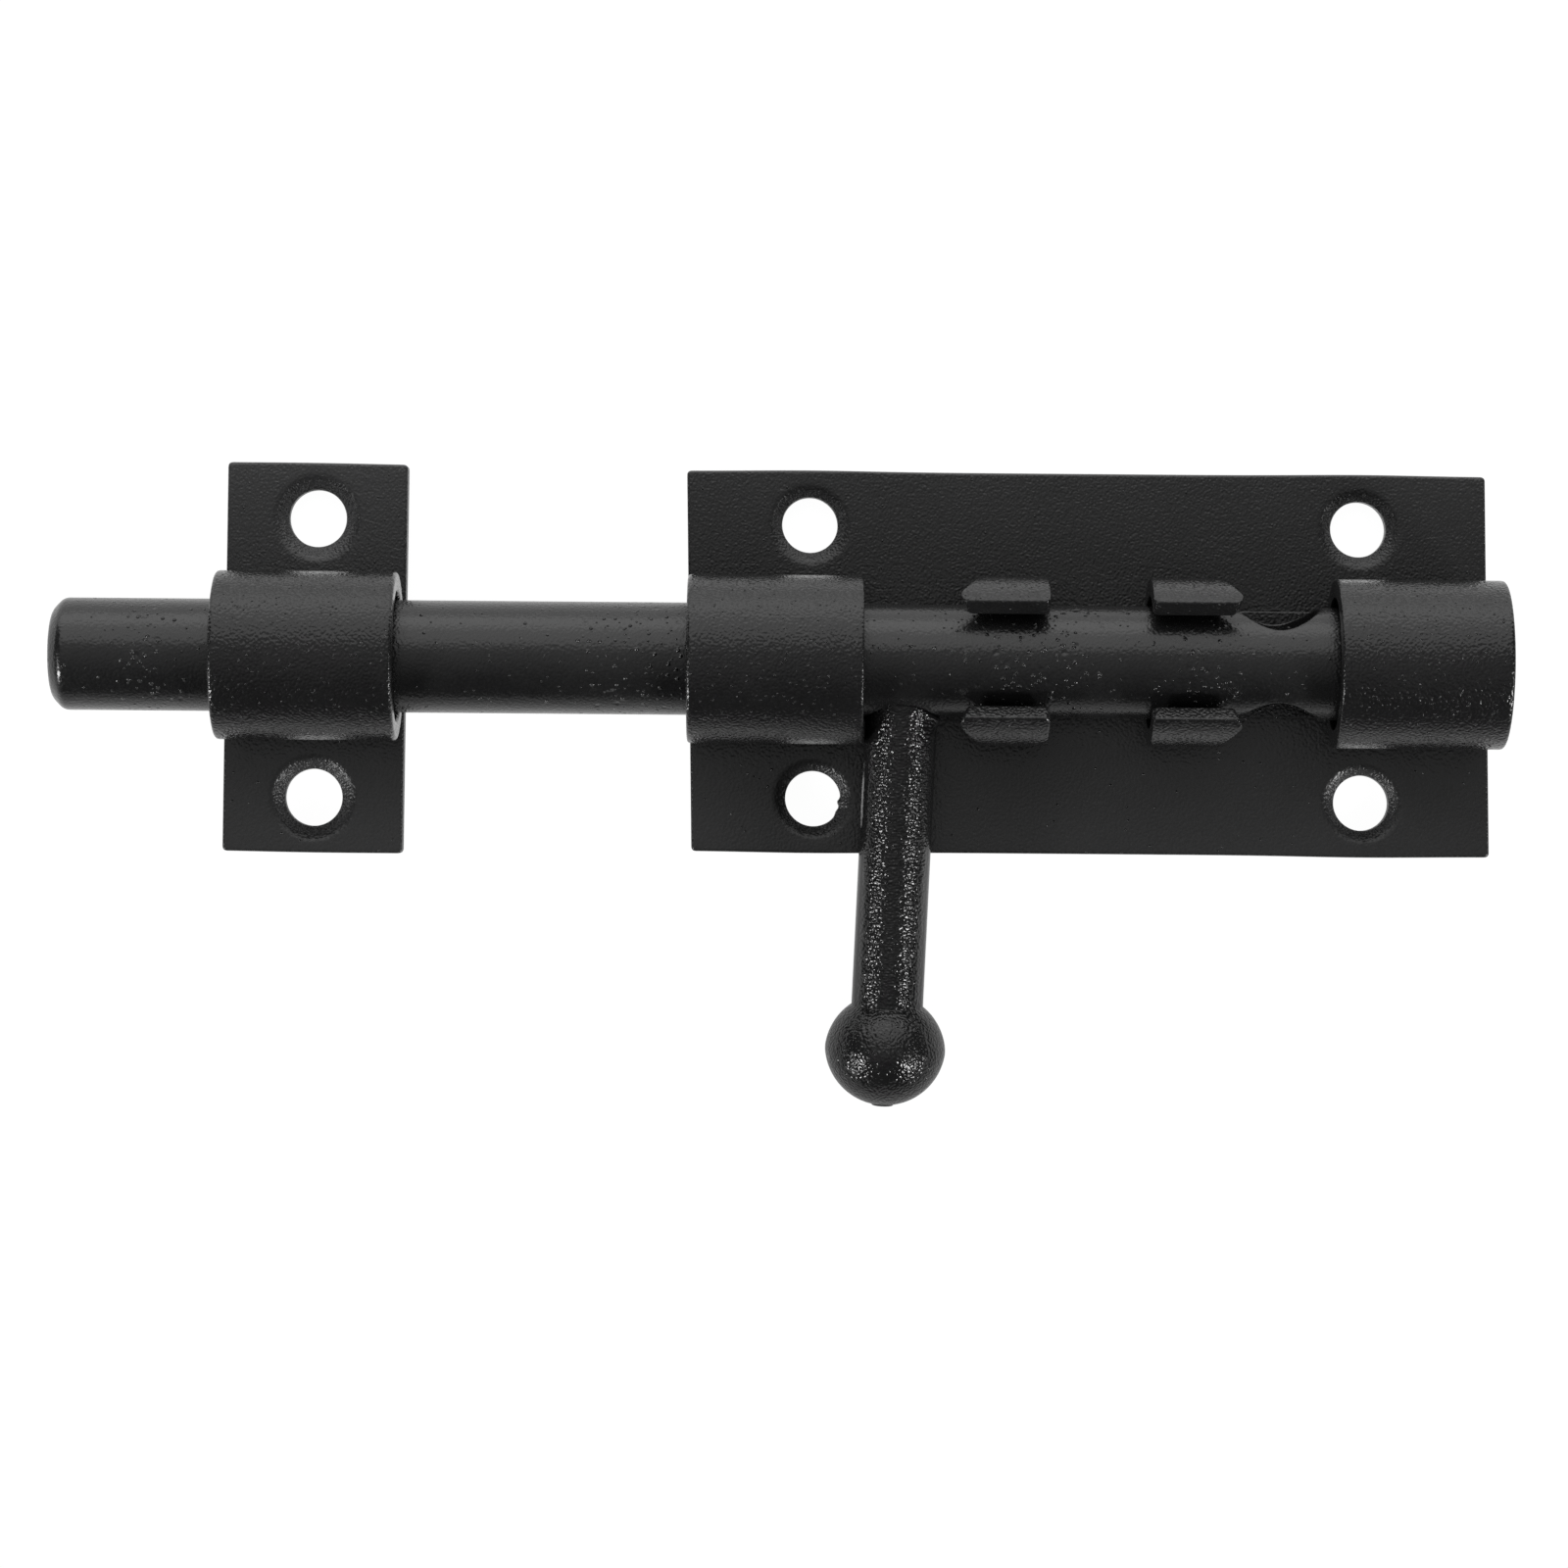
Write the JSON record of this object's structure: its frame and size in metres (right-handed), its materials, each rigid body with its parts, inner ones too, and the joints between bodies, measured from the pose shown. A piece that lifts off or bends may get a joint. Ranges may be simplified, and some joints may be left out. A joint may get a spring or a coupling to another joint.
{
  "type": "padbolt",
  "caption": "Tubular padbolt: a round bolt with a ball-ended handle turns and slides in a slotted guide tube on a base plate and shoots into a collar on a keep plate.",
  "frame": {"origin": "middle of the four base screws, on the back face of the base plate", "axes": "+X along the bolt towards its tail, so the nose points to -X; +Y across the bolt, away from the handle; +Z out of the door"},
  "size_m": [0.1547, 0.0691, 0.0204],
  "materials": {
    "plate_coat": "satin black powder coat with a sandy grain",
    "tube_coat": "satin black powder coat with a fine orange peel",
    "bolt_coat": "satin black powder coat, smoother, with small pits"
  },
  "bodies": {
    "plates": {"base_plate": "plate_coat", "guide_tube": "tube_coat", "keep_plate": "plate_coat", "keep_collar": "tube_coat"},
    "bolt": {"bolt_rod": "bolt_coat"},
    "handle": {"handle": "bolt_coat"}
  },
  "joints": [
    {"name": "bolt_slide", "type": "slide", "parent": "plates", "child": "bolt", "axis": [1, 0, 0], "range_m": [0, 0.0038]},
    {"name": "handle_turn", "type": "hinge", "parent": "bolt", "child": "handle", "pos_m": [-0.0199, 0, 0.01063], "axis": [-1, 0, 0], "range_deg": [0, 191.13]}
  ]
}
